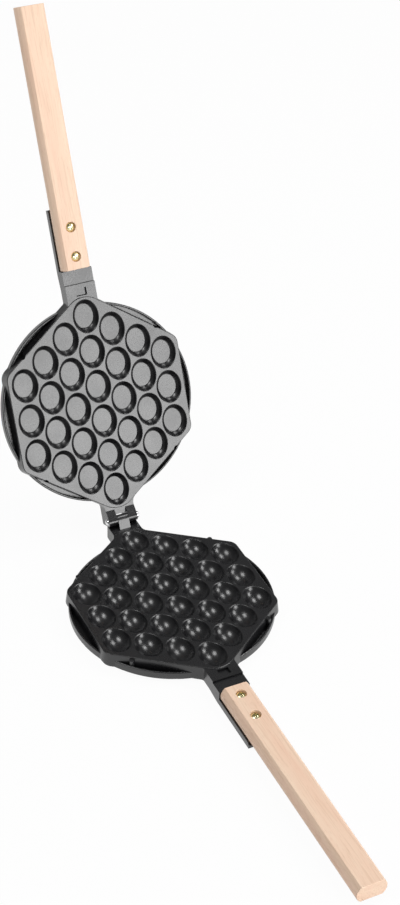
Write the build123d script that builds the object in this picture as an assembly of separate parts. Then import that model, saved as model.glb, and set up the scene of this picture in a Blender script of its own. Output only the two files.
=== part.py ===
from build123d import *
from math import acos, atan2, cos, radians, sin, sqrt, tan
import os

# Bubble waffle pan: two cast aluminium moulds hinged together, each with a beech handle.
# Millimetres, +Z up. The origin is on the floor, at the centre of the lower mould's base ring.
# The handles point to -Y and the hinge axis lies along X. The pan lies open, upper mould leaning back.

# Wells: seven columns in a hexagonal lattice, the longest along the pan's centre line.
# The lattice and the wells are drawn out along the pan by one ratio.
well_pitch = 32.5
well_stretch = 1.25
centre_wells = 6
side_columns = 3
well_width = 24.0
bowl_depth = 9.0
bowl_wall = 2.6
rim_round = 0.6
flat_well_depth = 5.2
floor_round = 0.8

# Raised hexagonal block that carries the wells
block_border = 3.7
block_height = 11.5
block_draft = 7.0
block_end_corner = 21.0
block_side_corner = 10.0
block_edge_round = 0.7

# Round hollow in the block's back, where the wells stand out; it stays inside the base ring
hollow_plate = 3.0
hollow_ledge = 3.0

# Round catch dish behind the block, with its lip and the ring that it rests on
dish_radius = 91.5
dish_floor = 2.5
lip_height = 5.4
lip_wall = 2.2
lip_round = 0.95
back_round = 1.6
ring_radius = 82.0
ring_wall = 4.5
mould_depth = 18.6

# Foot under the hinge block, which keeps the open pan from tipping back
foot_gap = 18.0
foot_length = 7.0
foot_width = 16.0
foot_corner = 2.5

# Cast lugs on the slanted sides of the lower block, and notches in the upper one
lug_x = 65.0
lug_width = 4.6
lug_drop = 1.6
notch_width = 5.6

# Neck between the block and the handle, with a shallow pocket in its face
neck_drop = 0.6
neck_end = 111.0
neck_fillet = 4.0
pocket_centre = 103.7
pocket_length = 7.0
pocket_width = 10.2
pocket_depth = 2.4

# Shelf between the neck's end and the handle
shelf_drop = 2.4
shelf_gap = 0.6

# Tang: a channel under the near end of the handle
tang_end = 179.0
tang_floor = 2.4
tang_wall = 1.6
tang_wall_height = 3.2
tang_side_gap = 0.3
tang_corner = 2.0
crank_start = 106.0
crank_length = 14.0
tang_root = 20.0

# Handle: flat faces inside and out, bulging sides
handle_start = 124.5
handle_length = 231.5
handle_width = 27.0
handle_face = 19.2
handle_thickness = 16.0
handle_edge_round = 0.6
handle_gap = 0.6

# Handle screws with sunk heads, and their nuts under the tang
screw_inset = 11.5
screw_spacing = 26.5
screw_size = 4.0
screw_clearance = 0.15
thread_play = 0.02
head_radius = 4.3
head_height = 2.5
head_edge = 0.9
head_sink = 0.4
head_gap = 0.5
cross_width = 1.1
cross_length = 4.8
cross_depth = 1.4
nut_flats = 7.0
nut_height = 2.2
nut_bevel = 0.4
screw_bevel = 0.4

# Hinge: one knuckle on the lower mould between the two ears of the upper mould
hinge_y = 110.0
hinge_rise = 5.0
closed_gap = 5.5
open_angle = 115.0
hinge_radius = 4.5
hinge_clearance = 0.6
hinge_width = 28.0
hinge_fillet = 9.0
hinge_root = 3.0
block_reach = 1.5
knuckle_width = 10.4
slot_side_gap = 0.25
stop_clearance = 0.25
pin_radius = 2.0
pin_play = 0.05
pin_fit = 0.02
pin_head_radius = 3.0
pin_head_height = 2.4
pin_stub = 1.6
pin_bevel = 0.3
cap_radius = 3.3
cap_height = 2.6
cap_round = 1.5

# How far a cut runs past the surface, how near two places count as the same,
# and the turn that keeps the wells' seams off the places where neighbours meet
overcut = 1.0
same = 0.01
seam_turn = 10.0

# Places worked out from the sizes above
column_pitch = well_pitch / well_stretch * cos(radians(30))
border_reach = well_width / 2 + block_border
flank_x = side_columns * column_pitch + border_reach
round_reach = (centre_wells - 1) / 2 * column_pitch + border_reach
tip_y = well_stretch * round_reach / cos(radians(30))
flank_y = well_stretch * (round_reach - flank_x / 2) / cos(radians(30))
side_slope = atan2(tip_y - flank_y, flank_x)
slant_reach = tip_y * cos(side_slope)
dish_top = -block_height
dish_back = dish_top - dish_floor
hollow_radius = ring_radius - ring_wall - hollow_ledge
handle_top = (closed_gap - handle_gap) / 2
handle_bottom = handle_top - handle_thickness
handle_middle = (handle_top + handle_bottom) / 2
tang_top = handle_bottom
tang_back = tang_top - tang_floor
screw_places = [handle_start + screw_inset, handle_start + screw_inset + screw_spacing]
screw_radius = screw_size / 2
head_seat = handle_top - head_sink - head_height
hinge_z = mould_depth + hinge_rise
hinge_swing = hinge_radius + hinge_clearance
ear_inner = knuckle_width / 2 + slot_side_gap
bowl_sphere = ((well_width / 2) ** 2 + bowl_depth ** 2) / (2 * bowl_depth)
bowl_centre = bowl_sphere - bowl_depth


def handle_half_width(height):
    # Half the handle's width at a height over its back: the sides are arcs
    bulge = (handle_width - handle_face) / 2
    radius = (bulge ** 2 + (handle_thickness / 2) ** 2) / (2 * bulge)
    return handle_width / 2 - radius + sqrt(radius ** 2 - (height - handle_thickness / 2) ** 2)


tang_inner = handle_half_width(tang_wall_height) + tang_side_gap
tang_outer = tang_inner + tang_wall


def across(points, inner, outer):
    # A straight-sided solid from its outline in the YZ plane, between two places on X
    outline = make_face(Polyline(*points, close=True))
    return Pos(inner, 0, 0) * extrude(Plane.YZ * outline, outer - inner)


def upright(outline, bottom, top):
    # A solid from its plan outline, between two heights
    return Pos(0, 0, bottom) * extrude(outline, top - bottom)


def turned(points):
    # A solid turned about Z from its outline in radius and height
    return revolve(Plane.XZ * make_face(Polyline(*points, close=True)), Axis.Z)


def hinge_barrel(radius, inner, outer, rise):
    # A cylinder on the hinge axis, between two places on X
    barrel = Cylinder(radius, outer - inner, rotation=(0, 90, 0))
    return Pos((inner + outer) / 2, hinge_y, rise) * barrel


def well_centres():
    places = []
    for column in range(-side_columns, side_columns + 1):
        count = centre_wells - abs(column)
        for place in range(count):
            places.append((column * column_pitch, (place - (count - 1) / 2) * well_pitch))
    return places


def drawn_out(solid):
    # A round well's shape, made oval along the pan
    return scale(Rot(0, 0, seam_turn) * solid, by=(1, well_stretch, 1))


def well_cutter(depth, flat):
    # Bowl-shaped space under one well: part of a sphere, with rounded rim and perhaps a flat floor
    rim_radius = sqrt((bowl_sphere + rim_round) ** 2 - (bowl_centre + rim_round) ** 2)
    share = bowl_sphere / (bowl_sphere + rim_round)
    rim_low = (rim_radius * share, bowl_centre - (bowl_centre + rim_round) * share)
    slope = sqrt(0.5)
    rim_mid = (rim_radius - rim_round * slope, -rim_round + rim_round * slope)
    rim_arc = ThreePointArc(rim_low, rim_mid, (rim_radius, 0))
    if flat:
        lift = floor_round - depth
        floor_radius = sqrt((bowl_sphere - floor_round) ** 2 - (lift - bowl_centre) ** 2)
        reach = bowl_sphere / (bowl_sphere - floor_round)
        floor_high = (floor_radius * reach, bowl_centre + (lift - bowl_centre) * reach)
        turn = (floor_high[0] - floor_radius, floor_high[1] - lift - floor_round)
        size = sqrt(turn[0] ** 2 + turn[1] ** 2)
        floor_mid = (floor_radius + floor_round * turn[0] / size, lift + floor_round * turn[1] / size)
        floor_arc = ThreePointArc((floor_radius, -depth), floor_mid, floor_high)
        start = [Line((0, -depth), (floor_radius, -depth)), floor_arc]
        low = floor_high
    else:
        start = []
        low = (0, -depth)
    middle = ((low[0] + rim_low[0]) / 2, (low[1] + rim_low[1]) / 2 - bowl_centre)
    size = sqrt(middle[0] ** 2 + middle[1] ** 2)
    wall_mid = (middle[0] / size * bowl_sphere, bowl_centre + middle[1] / size * bowl_sphere)
    wall = ThreePointArc(low, wall_mid, rim_low)
    top = Polyline((rim_radius, 0), (rim_radius, rim_round), (0, rim_round), (0, -depth))
    outline = make_face(Curve() + start + [wall, rim_arc, top])
    return drawn_out(revolve(Plane.XZ * outline, Axis.Z))


def block_outline():
    # Hexagon with one corner to the handle and one to the hinge
    right = [(0, -tip_y), (flank_x, -flank_y), (flank_x, flank_y)]
    left = [(-x, -y) for x, y in right]
    hexagon = Sketch() + make_face(Polyline(*right, *left, close=True))
    hexagon = fillet([v for v in hexagon.vertices() if abs(v.X) < same], block_end_corner)
    return fillet([v for v in hexagon.vertices() if abs(v.X) > flank_x - same], block_side_corner)


def neck_outline(reach):
    # Plan of the web under the block, with both necks blended into the hexagon's slanted sides
    hinge_neck = Pos(0, reach / 2) * Rectangle(hinge_width, reach)
    handle_neck = Pos(0, -neck_end / 2) * Rectangle(2 * tang_outer, neck_end)
    outline = Sketch() + [block_outline(), hinge_neck, handle_neck]
    inner = [v for v in outline.vertices() if -neck_end + same < v.Y < reach - same]
    hinge_roots = [v for v in inner if v.Y > 0 and abs(abs(v.X) - hinge_width / 2) < same]
    outline = fillet(hinge_roots, hinge_fillet)
    inner = [v for v in outline.vertices() if -neck_end + same < v.Y < 0]
    return fillet([v for v in inner if abs(abs(v.X) - tang_outer) < same], neck_fillet)


def neck(reach):
    # Web and both necks, from the dish's back up to their own faces, rounded at the hinge end's back
    solid = upright(neck_outline(reach), dish_back, -neck_drop)
    end = solid.edges().filter_by(Axis.X).group_by(Axis.Y)[-1]
    return fillet(end.sort_by(Axis.Z)[0], back_round)


def cup(depth, flat):
    # One well's wall and what is in it, as a solid from halfway up the plate over the hollow
    ball = bowl_sphere + bowl_wall
    high, low = -hollow_plate / 2, -depth - bowl_wall
    high_radius = sqrt(ball ** 2 - (bowl_centre - high) ** 2)
    low_radius = sqrt(ball ** 2 - (bowl_centre - low) ** 2) if flat else 0
    middle = ((high_radius + low_radius) / 2, (high + low) / 2 - bowl_centre)
    size = sqrt(middle[0] ** 2 + middle[1] ** 2)
    wall_mid = (middle[0] / size * ball, bowl_centre + middle[1] / size * ball)
    wall = ThreePointArc((low_radius, low), wall_mid, (high_radius, high))
    rest = Polyline((high_radius, high), (0, high), (0, low))
    floor = [Line((0, low), (low_radius, low))] if flat else []
    return drawn_out(revolve(Plane.XZ * make_face(Curve() + floor + [wall, rest]), Axis.Z))


def dish():
    # Floor, lip and base ring, turned as one
    inner = dish_radius - lip_wall
    lip_top = dish_top + lip_height
    outline = [
        (0, dish_back), (ring_radius - ring_wall, dish_back), (ring_radius - ring_wall, -mould_depth),
        (ring_radius, -mould_depth), (ring_radius, dish_back), (dish_radius, dish_back),
        (dish_radius, lip_top), (inner, lip_top), (inner, dish_top), (0, dish_top),
    ]
    solid = turned(outline)
    edges = solid.edges().filter_by(GeomType.CIRCLE)
    lip = [e for e in edges if e.radius > inner - same and abs(e.center().Z - lip_top) < same]
    solid = fillet(lip, lip_round)
    edges = solid.edges().filter_by(GeomType.CIRCLE)
    back = [e for e in edges if abs(e.radius - dish_radius) < same and abs(e.center().Z - dish_back) < same]
    return fillet(back, back_round)


def tang():
    # Side view of the neck, shelf and tang, cut through by the channel that the handle lies in
    wall_top = tang_top + tang_wall_height
    shelf_end = shelf_gap - handle_start
    outline = [
        (tang_root - neck_end, -neck_drop), (-neck_end, -neck_drop), (-neck_end, -shelf_drop),
        (shelf_end, -shelf_drop), (shelf_end, wall_top), (-tang_end + tang_corner, wall_top),
        (-tang_end, wall_top - tang_corner), (-tang_end, tang_back), (-crank_start - crank_length, tang_back),
        (-crank_start, dish_back), (tang_root - neck_end, dish_back),
    ]
    body = across(outline, -tang_outer, tang_outer)
    channel_length = tang_end + overcut + shelf_end
    channel = Box(2 * tang_inner, channel_length, handle_thickness)
    body -= Pos(0, shelf_end - channel_length / 2, tang_top + handle_thickness / 2) * channel
    for place in screw_places:
        body -= Pos(0, -place, tang_top) * Cylinder(screw_radius + screw_clearance, 4 * tang_floor)
    return body


def lug_centres():
    # Middle of each lug or notch, on the foot of the block's slanted sides
    foot = slant_reach + block_height * tan(radians(block_draft))
    side_y = (foot - lug_x * sin(side_slope)) / cos(side_slope)
    return [(x, y) for x in (-lug_x, lug_x) for y in (-side_y, side_y)]


def mould(flat_wells, reach):
    # Everything that the two moulds share, facing up, with the well rims at height 0
    block = extrude(block_outline(), block_height, dir=(0, 0, -1), taper=-block_draft)
    block = fillet([e for e in block.edges() if abs(e.center().Z) < same], block_edge_round)
    body = block + dish() + neck(reach) + tang()
    body -= Pos(0, -pocket_centre, -neck_drop) * Box(pocket_width, pocket_length, 2 * pocket_depth)
    body -= upright(Circle(hollow_radius), dish_back - overcut, -hollow_plate)
    depth = flat_well_depth if flat_wells else bowl_depth
    cups = [Pos(x, y, 0) * cup(depth, flat_wells) for x, y in well_centres()]
    body += cups[0] + cups[1:]
    cutter = well_cutter(depth, flat_wells)
    return body - [Pos(x, y, 0) * cutter for x, y in well_centres()]


def barrel_root(start, rise, low_end):
    # Side view of the web behind a hinge barrel, up to where its slope touches the barrel
    run, climb = start - hinge_y, -neck_drop - rise
    touch = atan2(-climb, -run) - acos(hinge_radius / sqrt(run ** 2 + climb ** 2))
    slope_end = (hinge_y - hinge_radius * cos(touch), rise - hinge_radius * sin(touch))
    return [
        (start, dish_back + back_round), (start, -neck_drop), slope_end,
        (hinge_y + hinge_radius, rise), (low_end, dish_back + back_round),
    ]


def make_lower_mould():
    # Bowls, lugs, and one knuckle between two slanted faces that stop the ears when the pan is open
    body = mould(False, hinge_y + block_reach)
    lug = upright(Circle(lug_width / 2), dish_top, -lug_drop)
    body += [Pos(x, y, 0) * lug for x, y in lug_centres()]
    half = knuckle_width / 2
    root = barrel_root(hinge_y - hinge_swing - hinge_root, hinge_rise, hinge_y + block_reach)
    body += across(root, -half, half) + hinge_barrel(hinge_radius, -half, half, hinge_rise)
    for inner, outer in ((half, hinge_width), (-hinge_width, -half)):
        body -= across(stop_space(), inner, outer)
    foot = fillet(Rectangle(foot_width, foot_length).vertices(), foot_corner)
    foot = upright(foot, -mould_depth, dish_back + back_round)
    body += Pos(0, ring_radius + foot_gap + foot_length / 2, 0) * foot
    return body - hinge_barrel(pin_radius + pin_play, -hinge_width, hinge_width, hinge_rise)


def stop_space():
    # Side view of the space over the slanted face that the flat ends of the ears come down on
    turn = radians(open_angle)
    away = hinge_radius + stop_clearance
    size = 3 * hinge_radius
    corners = ((away, -size), (away, size), (-size, size), (-size, -size))
    return [
        (hinge_y + out * cos(turn) + along * sin(turn), hinge_rise - out * sin(turn) + along * cos(turn))
        for out, along in corners
    ]


def make_upper_mould():
    # Flat wells, notches, and two ears on the hinge axis; modelled facing up like the lower one
    rise = closed_gap - hinge_rise
    body = mould(True, hinge_y + hinge_radius)
    notch = upright(Circle(notch_width / 2), dish_top, block_height)
    body -= [Pos(x, y, 0) * notch for x, y in lug_centres()]
    root = barrel_root(hinge_y - 2 * hinge_swing, rise, hinge_y + hinge_radius)
    for inner, outer in ((ear_inner, hinge_width / 2), (-hinge_width / 2, -ear_inner)):
        body += across(root, inner, outer) + hinge_barrel(hinge_radius, inner, outer, rise)
    slot = Box(2 * ear_inner, 2 * hinge_swing, 4 * block_height)
    body -= Pos(0, hinge_y, 0) * slot
    return body - hinge_barrel(pin_radius + pin_fit, -hinge_width, hinge_width, rise)


def make_handle():
    # Beech bar on the tang, with a sunk seat for each screw head
    side = handle_face / 2
    right = ThreePointArc((side, handle_bottom), (handle_width / 2, handle_middle), (side, handle_top))
    left = ThreePointArc((-side, handle_top), (-handle_width / 2, handle_middle), (-side, handle_bottom))
    top = Line((side, handle_top), (-side, handle_top))
    bottom = Line((-side, handle_bottom), (side, handle_bottom))
    bar = extrude(Plane.XZ * make_face(Curve() + [right, top, left, bottom]), handle_length)
    bar = Pos(0, -handle_start, 0) * fillet(bar.edges(), handle_edge_round)
    for place in screw_places:
        seat = upright(Circle(head_radius + head_gap), head_seat, handle_top + handle_thickness)
        hole = Cylinder(screw_radius + screw_clearance, 3 * handle_thickness)
        bar -= Pos(0, -place, 0) * (seat + hole)
    return bar


def make_screw():
    # Domed head with a cross recess, and a plain shank down to the far face of the nut
    height = head_height - head_edge
    dome = (head_radius ** 2 + height ** 2) / (2 * height)
    middle = head_height - dome + sqrt(dome ** 2 - (head_radius / 2) ** 2)
    tip = tang_back - nut_height - head_seat
    crown = ThreePointArc((head_radius, head_edge), (head_radius / 2, middle), (0, head_height))
    rest = Polyline(
        (0, head_height), (0, tip), (screw_radius - screw_bevel, tip), (screw_radius, tip + screw_bevel),
        (screw_radius, 0), (head_radius, 0), (head_radius, head_edge),
    )
    screw = revolve(Plane.XZ * make_face(Curve() + [crown, rest]), Axis.Z)
    recess = Box(cross_length, cross_width, 2 * cross_depth)
    for turn in (0, 90):
        screw -= Pos(0, 0, head_height) * Rot(0, 0, turn) * recess
    return Pos(0, 0, head_seat) * screw


def make_nut():
    # Hexagon with its corners bevelled, and a plain bore over the screw's shank
    corner = nut_flats / 2 / cos(radians(30))
    blank = upright(RegularPolygon(nut_flats / 2, 6, major_radius=False), 0, nut_height)
    disc = upright(Circle(corner), 0, nut_height)
    blank &= chamfer(disc.edges().filter_by(GeomType.CIRCLE), nut_bevel)
    blank -= upright(Circle(screw_radius + thread_play), -nut_height, 2 * nut_height)
    return Pos(0, 0, tang_back - nut_height) * blank


def make_pin():
    # Hinge pin with a domed head against the left ear, on the X axis
    half = hinge_width / 2
    height = pin_head_height
    dome = (pin_head_radius ** 2 + height ** 2) / (2 * height)
    middle = height - dome + sqrt(dome ** 2 - (pin_head_radius / 2) ** 2)
    head = ThreePointArc(
        (-half, pin_head_radius), (-half - middle, pin_head_radius / 2), (-half - height, 0)
    )
    end = half + pin_stub
    rest = Polyline(
        (-half - height, 0), (end, 0), (end, pin_radius - pin_bevel), (end - pin_bevel, pin_radius),
        (-half, pin_radius), (-half, pin_head_radius),
    )
    return revolve(make_face(Curve() + [head, rest]), Axis.X)


def make_pin_cap():
    # Domed push-on cap over the pin's stub, against the right ear
    half = hinge_width / 2
    cap = Cylinder(cap_radius, cap_height, rotation=(0, 90, 0))
    outer = [e for e in cap.edges().filter_by(GeomType.CIRCLE) if e.center().X > 0]
    cap = Pos(half + cap_height / 2, 0, 0) * fillet(outer, cap_round)
    bore = Cylinder(pin_radius + pin_fit, 2 * pin_stub, rotation=(0, 90, 0))
    return cap - Pos(half, 0, 0) * bore


lower_place = Pos(0, 0, mould_depth)
closed_place = Pos(0, 0, mould_depth + closed_gap) * Rot(0, 180, 0)
opening = Pos(0, hinge_y, hinge_z) * Rot(-open_angle, 0, 0) * Pos(0, -hinge_y, -hinge_z)
upper_place = opening * closed_place
hinge_place = opening * Pos(0, hinge_y, hinge_z)

nodes = {
    "lower_mould": lower_place * make_lower_mould(),
    "upper_mould": upper_place * make_upper_mould(),
    "hinge_pin": hinge_place * make_pin(),
    "pin_cap": hinge_place * make_pin_cap(),
}
handle, screw, nut = make_handle(), make_screw(), make_nut()
for half, place in (("lower", lower_place), ("upper", upper_place)):
    nodes[half + "_handle"] = place * handle
    for number, screw_y in enumerate(screw_places, 1):
        nodes[f"{half}_screw_{number}"] = place * Pos(0, -screw_y, 0) * screw
        nodes[f"{half}_nut_{number}"] = place * Pos(0, -screw_y, 0) * nut

os.makedirs("parts", exist_ok=True)
for name, solid in nodes.items():
    export_step(solid, f"parts/{name}.step")
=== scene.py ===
from math import radians

import bpy
import numpy as np
from mathutils import Matrix, Vector

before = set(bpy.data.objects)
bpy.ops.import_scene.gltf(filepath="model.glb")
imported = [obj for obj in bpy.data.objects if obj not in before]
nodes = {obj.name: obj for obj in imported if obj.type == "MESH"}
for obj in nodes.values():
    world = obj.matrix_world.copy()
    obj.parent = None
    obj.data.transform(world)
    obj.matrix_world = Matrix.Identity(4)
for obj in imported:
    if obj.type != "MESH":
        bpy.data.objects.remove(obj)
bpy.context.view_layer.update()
print("frame loaded:", len(nodes), "nodes")

# Where the two halves lie: a half's own space has its well rims at height 0 and its handle towards -Y
pan = {
    "wellPlane": 0.0186,           # height of the lower well rims over the floor, in metres
    "closedGap": 0.0055,           # between the two planes of well rims when the pan is shut
    "openAngle": 115,              # degrees that the upper half has turned from shut to rest
    "hinge": (0, 0.110, 0.0236),   # a point on the pin's axis, which runs along X
}
upsideDown = Matrix.Rotation(radians(180), 4, "Y")
lowerSpace = Matrix.Translation((0, 0, pan["wellPlane"]))
shutSpace = Matrix.Translation((0, 0, pan["wellPlane"] + pan["closedGap"])) @ upsideDown
hingeSpace = Matrix.Translation(pan["hinge"])
openTurn = Matrix.Rotation(radians(-pan["openAngle"]), 4, "X")
upperSpace = hingeSpace @ openTurn @ hingeSpace.inverted() @ shutSpace
halfSpaces = {"lower": lowerSpace, "upper": upperSpace}

noiseMiddle = 0.5                  # about what a noise averages


def colour(red, green, blue):
    return (red, green, blue, 1)


class Socket:
    # An output of a shader node, which plain sums and products can use
    def __init__(self, shader, output):
        self.shader = shader
        self.output = output

    def math(self, operation, first, second):
        return self.shader.node("ShaderNodeMath", {"operation": operation}, {0: first, 1: second})

    def __add__(self, other):
        return self.math("ADD", self, other)

    def __radd__(self, other):
        return self.math("ADD", other, self)

    def __sub__(self, other):
        return self.math("SUBTRACT", self, other)

    def __rsub__(self, other):
        return self.math("SUBTRACT", other, self)

    def __mul__(self, other):
        return self.math("MULTIPLY", self, other)

    def __rmul__(self, other):
        return self.math("MULTIPLY", other, self)


class Shader:
    # A node tree, with one way of adding a node to it
    def __init__(self, owner):
        owner.use_nodes = True
        self.owner = owner
        self.tree = owner.node_tree
        self.tree.nodes.clear()

    def node(self, kind, settings, inputs, output=0):
        new = self.tree.nodes.new(kind)
        for name, value in settings.items():
            if name == "stops":
                self.setStops(new.color_ramp, value)
            else:
                setattr(new, name, value)
        for key, value in inputs.items():
            if isinstance(value, Socket):
                self.tree.links.new(value.output, new.inputs[key])
            else:
                new.inputs[key].default_value = value
        return Socket(self, new.outputs[output] if new.outputs else None)

    def setStops(self, ramp, stops):
        # Each stop is a place from 0 to 1 and the grey level there
        while len(ramp.elements) < len(stops):
            ramp.elements.new(1)
        for element, (place, level) in zip(ramp.elements, stops):
            element.position = place
            element.color = colour(level, level, level)

    def ramp(self, factor, stops):
        return self.node("ShaderNodeValToRGB", {"stops": stops}, {"Fac": factor})

    def place(self, space, stretch=(1, 1, 1)):
        # Object coordinates turned into the given space, then scaled in X, Y and Z for a pattern
        own = self.node("ShaderNodeTexCoord", {}, {}, "Object")
        back = space.inverted()
        values = {"Vector": own, "Location": back.translation, "Rotation": back.to_euler()}
        local = self.node("ShaderNodeMapping", {}, values)
        return self.node("ShaderNodeMapping", {}, {"Vector": local, "Scale": stretch})

    def noise(self, place, scale, detail=2, roughness=0.5):
        # The scale is how many lumps of the noise fit in a metre, where nothing is stretched
        values = {"Vector": place, "Scale": scale, "Detail": detail, "Roughness": roughness}
        return self.node("ShaderNodeTexNoise", {}, values, "Fac")

    def cells(self, place, scale):
        # Distance to the nearest of many scattered points
        return self.node("ShaderNodeTexVoronoi", {}, {"Vector": place, "Scale": scale}, "Distance")

    def blend(self, factor, first, second):
        # Sockets 6 and 7 of a Mix node are its two colours, and output 2 is the colour between them
        return self.node("ShaderNodeMix", {"data_type": "RGBA"}, {0: factor, 6: first, 7: second}, 2)

    def bump(self, height, depth):
        return self.node("ShaderNodeBump", {}, {"Height": height, "Distance": depth, "Strength": 1})

    def surface(self, values):
        coat = self.node("ShaderNodeBsdfPrincipled", {}, values)
        self.node("ShaderNodeOutputMaterial", {}, {"Surface": coat})
        return self.owner


def castingCoat(half):
    # Black coat over the sandy skin of the casting, in slow clouds that are a little paler
    look = {
        "black": colour(0.005, 0.005, 0.006),
        "worn": colour(0.010, 0.010, 0.011),
        "roughness": 0.28,
        "roughnessSpread": 0.10,
        "grain": {"scale": 1000, "detail": 3, "roughness": 0.6},       # about 1 mm a grain
        "grainDepth": 0.000022,
        "cloud": {"scale": 45, "detail": 3, "roughness": 0.55},        # about 22 mm a cloud
        "refraction": 1.7,
    }
    shader = Shader(bpy.data.materials.new("castingCoat_" + half))
    place = shader.place(halfSpaces[half])
    grain = shader.noise(place, **look["grain"])
    cloud = shader.noise(place, **look["cloud"])
    base = shader.blend(cloud, look["black"], look["worn"])
    cloudRough = look["roughnessSpread"] * (cloud - noiseMiddle)
    grainRough = look["roughnessSpread"] * (grain - noiseMiddle)
    rough = look["roughness"] + cloudRough + grainRough
    normal = shader.bump(grain, look["grainDepth"])
    values = {"Base Color": base, "Roughness": rough, "Normal": normal, "IOR": look["refraction"]}
    return shader.surface(values)


def beech(half):
    # Pale wood; a stretch under 1 in Y draws its pattern out along the handle
    look = {
        "pale": colour(0.92, 0.69, 0.52),
        "pink": colour(0.90, 0.62, 0.46),
        "vein": colour(0.66, 0.42, 0.27),
        "fleck": colour(0.36, 0.20, 0.11),
        "roughness": 0.5,
        "roughnessSpread": 0.12,
        "bandStretch": (1, 0.12, 1),       # broad bands of pale and pink
        "band": {"scale": 70, "detail": 4, "roughness": 0.6},
        "bandStops": [(0.35, 0), (0.65, 1)],
        "streakStretch": (1, 0.03, 1),     # fine veins
        "streak": {"scale": 900, "detail": 3, "roughness": 0.6},
        "streakStops": [(0.50, 0), (0.70, 1)],
        "streakShare": 0.42,
        "poreStretch": (1, 0.10, 1),       # short pores in the colour of the veins
        "poreScale": 900,
        "poreStops": [(0.10, 1), (0.22, 0)],
        "poreShare": 0.4,
        "fleckStretch": (1, 0.30, 1),      # a few dark flecks
        "fleckScale": 95,
        "fleckStops": [(0.035, 1), (0.06, 0)],
        "fleckShare": 0.6,
        "poreSink": 0.6,                   # how deep a pore goes, as a share of the relief
        "reliefDepth": 0.00003,
    }
    shader = Shader(bpy.data.materials.new("beech_" + half))
    space = halfSpaces[half]
    band = shader.noise(shader.place(space, look["bandStretch"]), **look["band"])
    streak = shader.noise(shader.place(space, look["streakStretch"]), **look["streak"])
    pores = shader.cells(shader.place(space, look["poreStretch"]), look["poreScale"])
    flecks = shader.cells(shader.place(space, look["fleckStretch"]), look["fleckScale"])
    base = shader.blend(shader.ramp(band, look["bandStops"]), look["pale"], look["pink"])
    streakMask = shader.ramp(streak, look["streakStops"])
    base = shader.blend(look["streakShare"] * streakMask, base, look["vein"])
    poreMask = shader.ramp(pores, look["poreStops"])
    base = shader.blend(look["poreShare"] * poreMask, base, look["vein"])
    fleckMask = shader.ramp(flecks, look["fleckStops"])
    base = shader.blend(look["fleckShare"] * fleckMask, base, look["fleck"])
    rough = look["roughness"] + look["roughnessSpread"] * (streak - noiseMiddle)
    normal = shader.bump(streak - look["poreSink"] * poreMask, look["reliefDepth"])
    return shader.surface({"Base Color": base, "Roughness": rough, "Normal": normal})


def screwZinc(half):
    # Yellow zinc plate with greener clouds and a finely pitted skin
    look = {
        "yellow": colour(0.86, 0.74, 0.42),
        "green": colour(0.74, 0.72, 0.46),
        "roughness": 0.2,
        "roughnessSpread": 0.08,
        "cloudScale": 420,
        "skinScale": 2600,
        "skinDepth": 0.00001,
    }
    shader = Shader(bpy.data.materials.new("screwZinc_" + half))
    place = shader.place(halfSpaces[half])
    cloud = shader.noise(place, look["cloudScale"])
    base = shader.blend(cloud, look["yellow"], look["green"])
    rough = look["roughness"] + look["roughnessSpread"] * cloud
    normal = shader.bump(shader.noise(place, look["skinScale"]), look["skinDepth"])
    return shader.surface({"Base Color": base, "Metallic": 1, "Roughness": rough, "Normal": normal})


def pinSteel():
    # Bright steel with fine marks that run round the pin, so they are close together along it
    look = {
        "steel": colour(0.82, 0.82, 0.83),
        "dull": colour(0.70, 0.70, 0.71),
        "roughness": 0.12,
        "roughnessSpread": 0.10,
        "turningStretch": (6, 1, 1),
        "turningScale": 700,
        "turningDepth": 0.000006,
    }
    shader = Shader(bpy.data.materials.new("pinSteel"))
    turning = shader.noise(shader.place(hingeSpace, look["turningStretch"]), look["turningScale"])
    base = shader.blend(turning, look["steel"], look["dull"])
    rough = look["roughness"] + look["roughnessSpread"] * turning
    normal = shader.bump(turning, look["turningDepth"])
    return shader.surface({"Base Color": base, "Metallic": 1, "Roughness": rough, "Normal": normal})


def paint(node, material):
    for slot in nodes[node].material_slots:
        slot.material = material


for half in halfSpaces:
    paint(half + "_mould", castingCoat(half))
    paint(half + "_handle", beech(half))
    zinc = screwZinc(half)
    for number in (1, 2):
        paint(f"{half}_screw_{number}", zinc)
        paint(f"{half}_nut_{number}", zinc)
steel = pinSteel()
paint("hinge_pin", steel)
paint("pin_cap", steel)
print("materials done")


def whiteForSight(shader, shaded, share, white):
    # Camera, glossy and see-through rays find it white by this share; shadows stay in the rest
    camera = shader.node("ShaderNodeLightPath", {}, {}, "Is Camera Ray")
    glossy = shader.node("ShaderNodeLightPath", {}, {}, "Is Glossy Ray")
    through = shader.node("ShaderNodeLightPath", {}, {}, "Is Transmission Ray")
    sight = camera + glossy + through
    glow = shader.node("ShaderNodeEmission", {}, {"Color": colour(white, white, white), "Strength": 1})
    return shader.node("ShaderNodeMixShader", {}, {0: share * sight, 1: shaded, 2: glow})


def makeFloor():
    # One square face at height 0, which keeps the pan's shadow
    look = {"halfSide": 15.0, "grey": 0.8, "whiteShare": 0.96, "white": 1.0}
    corners = np.array([(-1, -1, 0), (1, -1, 0), (1, 1, 0), (-1, 1, 0)]) * look["halfSide"]
    mesh = bpy.data.meshes.new("studioFloor")
    mesh.from_pydata(corners.tolist(), [], [(0, 1, 2, 3)])
    floor = bpy.data.objects.new("studioFloor", mesh)
    bpy.context.scene.collection.objects.link(floor)
    shader = Shader(bpy.data.materials.new("studioFloor"))
    grey = look["grey"]
    shaded = shader.node("ShaderNodeBsdfDiffuse", {}, {"Color": colour(grey, grey, grey)})
    seen = whiteForSight(shader, shaded, look["whiteShare"], look["white"])
    shader.node("ShaderNodeOutputMaterial", {}, {"Surface": seen})
    mesh.materials.append(shader.owner)


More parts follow.
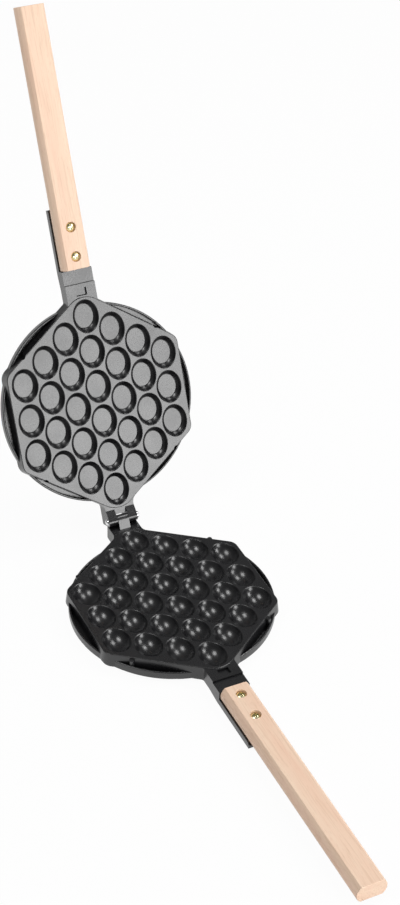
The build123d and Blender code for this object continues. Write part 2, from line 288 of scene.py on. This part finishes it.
def makeWorld():
    # Pale round the horizon and under it, dimmer overhead, as in a white cove with a dark ceiling
    look = {
        "levels": [(0.0, 0.5), (0.52, 0.45), (0.62, 0.14), (1.0, 0.18)],    # straight down to straight up
    }
    world = bpy.data.worlds.new("studio")
    bpy.context.scene.world = world
    shader = Shader(world)
    direction = shader.node("ShaderNodeTexCoord", {}, {}, "Generated")
    height = shader.node("ShaderNodeSeparateXYZ", {}, {"Vector": direction}, "Z")
    # A ramp reads 0 to 1, and the height of a direction is -1 to 1
    level = shader.ramp(height * 0.5 + 0.5, look["levels"])
    sky = shader.node("ShaderNodeBackground", {}, {"Color": level, "Strength": 1})
    shader.node("ShaderNodeOutputWorld", {}, {"Surface": sky})


# Round soft lamps, each with its direction from the aim, its radiance and its angular radius in degrees
lighting = {
    "aim": (0, 0.06, 0.06),        # a point near the hinge, which all the lamps face
    "reach": 3.0,                  # metres from there to each lamp
    "lamps": {
        "frontLamp": {"direction": (0.317, -0.928, 0.194), "radiance": 7.6, "spread": 13},
        "rightLamp": {"direction": (0.696, -0.448, 0.561), "radiance": 8, "spread": 11},
        "leftLamp": {"direction": (-0.472, -0.022, 0.881), "radiance": 8.5, "spread": 11},
        "topLamp": {"direction": (0.401, 0.116, 0.909), "radiance": 7.5, "spread": 11},
    },
}


def makeLamp(name, direction, radiance, spread):
    reach = lighting["reach"]
    radius = reach * np.tan(radians(spread))
    lamp = bpy.data.lights.new(name, "AREA")
    lamp.shape = "DISK"
    lamp.size = 2 * radius
    # The power grows with the disk's area, so that the radiance stays as given
    lamp.energy = radiance * np.pi ** 2 * radius ** 2
    holder = bpy.data.objects.new(name, lamp)
    outward = Vector(direction).normalized()
    turn = outward.to_track_quat("Z", "Y").to_matrix().to_4x4()
    holder.matrix_world = Matrix.Translation(Vector(lighting["aim"]) + reach * outward) @ turn
    bpy.context.scene.collection.objects.link(holder)


makeFloor()
makeWorld()
for name, values in lighting["lamps"].items():
    makeLamp(name, **values)
print("stage and lamps done")


def makeCamera():
    view = {
        "place": (-0.54472, -1.12564, 1.13177),
        "ahead": (0.35786, 0.71002, -0.60647),      # through the middle of the picture
        "down": (-0.24268, -0.55645, -0.79465),     # towards its lower edge
        "focalPixels": 1895,       # the focal length, in pixels of a picture of this height
        "pictureHeight": 905,
        "sensor": 36,              # millimetres, along the picture's longer side
        "clipEnd": 50,
    }
    camera = bpy.data.cameras.new("camera")
    camera.lens = view["sensor"] * view["focalPixels"] / view["pictureHeight"]
    camera.clip_end = view["clipEnd"]
    holder = bpy.data.objects.new("camera", camera)
    back = -Vector(view["ahead"]).normalized()
    up = -Vector(view["down"])
    right = up.cross(back).normalized()
    up = back.cross(right)
    turn = Matrix((right, up, back)).transposed().to_4x4()
    holder.matrix_world = Matrix.Translation(view["place"]) @ turn
    bpy.context.scene.collection.objects.link(holder)
    bpy.context.scene.camera = holder


makeCamera()
bpy.context.scene.view_settings.view_transform = "Standard"
